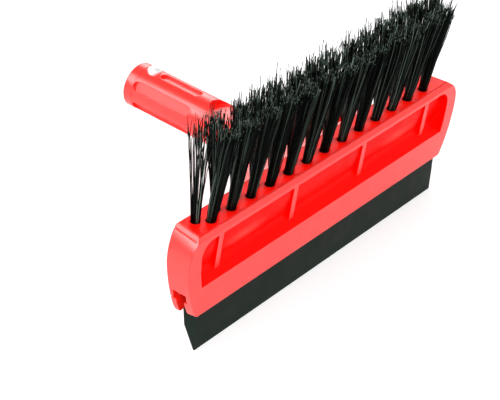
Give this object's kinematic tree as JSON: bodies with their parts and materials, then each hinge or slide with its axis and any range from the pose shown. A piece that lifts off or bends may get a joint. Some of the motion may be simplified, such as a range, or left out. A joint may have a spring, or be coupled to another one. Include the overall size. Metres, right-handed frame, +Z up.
{
  "type": "snow brush scraper head",
  "caption": "Snow brush head with staggered bristle tufts above, a slide-in rubber squeegee blade below, and a hollow handle spigot with a spring button.",
  "frame": {"origin": "on the handle axis, at the middle of the plain collar at the spigot's free end", "axes": "+X along the head, +Y backwards along the handle axis, +Z up, the way the bristles stand"},
  "size_m": [0.2356, 0.1469, 0.129],
  "materials": {
    "head_plastic": "glossy red moulded plastic",
    "blade_rubber": "matt black rubber",
    "button_chrome": "bright plated steel",
    "spring_steel": "rolled spring steel",
    "staple_steel": "flat steel strip",
    "bristle_plastic": "black plastic bristles"
  },
  "bodies": {
    "head_body": {"brush_head": "head_plastic", "button_spring": "spring_steel", "anchor_staples": "staple_steel", "front_tuft_1": "bristle_plastic", "front_tuft_2": "bristle_plastic", "front_tuft_3": "bristle_plastic", "front_tuft_4": "bristle_plastic", "front_tuft_5": "bristle_plastic", "front_tuft_6": "bristle_plastic", "front_tuft_7": "bristle_plastic", "front_tuft_8": "bristle_plastic", "front_tuft_9": "bristle_plastic", "front_tuft_10": "bristle_plastic", "front_tuft_11": "bristle_plastic", "front_tuft_12": "bristle_plastic", "front_tuft_13": "bristle_plastic", "back_tuft_1": "bristle_plastic", "back_tuft_2": "bristle_plastic", "back_tuft_3": "bristle_plastic", "back_tuft_4": "bristle_plastic", "back_tuft_5": "bristle_plastic", "back_tuft_6": "bristle_plastic", "back_tuft_7": "bristle_plastic", "back_tuft_8": "bristle_plastic", "back_tuft_9": "bristle_plastic", "back_tuft_10": "bristle_plastic", "back_tuft_11": "bristle_plastic", "back_tuft_12": "bristle_plastic", "back_tuft_13": "bristle_plastic", "back_tuft_14": "bristle_plastic"},
    "button_body": {"snap_button": "button_chrome"},
    "blade_body": {"squeegee_blade": "blade_rubber"}
  },
  "joints": [
    {"name": "button_press", "type": "slide", "parent": "head_body", "child": "button_body", "axis": [0, 0, 1], "range_m": [-0.0035, 0], "stiffness_N_per_m": 2000, "springref_m": 0.001, "deforming": ["button_spring"]},
    {"name": "blade_slide", "type": "slide", "parent": "head_body", "child": "blade_body", "axis": [-1, 0, 0], "range_m": [0, 0.2]}
  ]
}
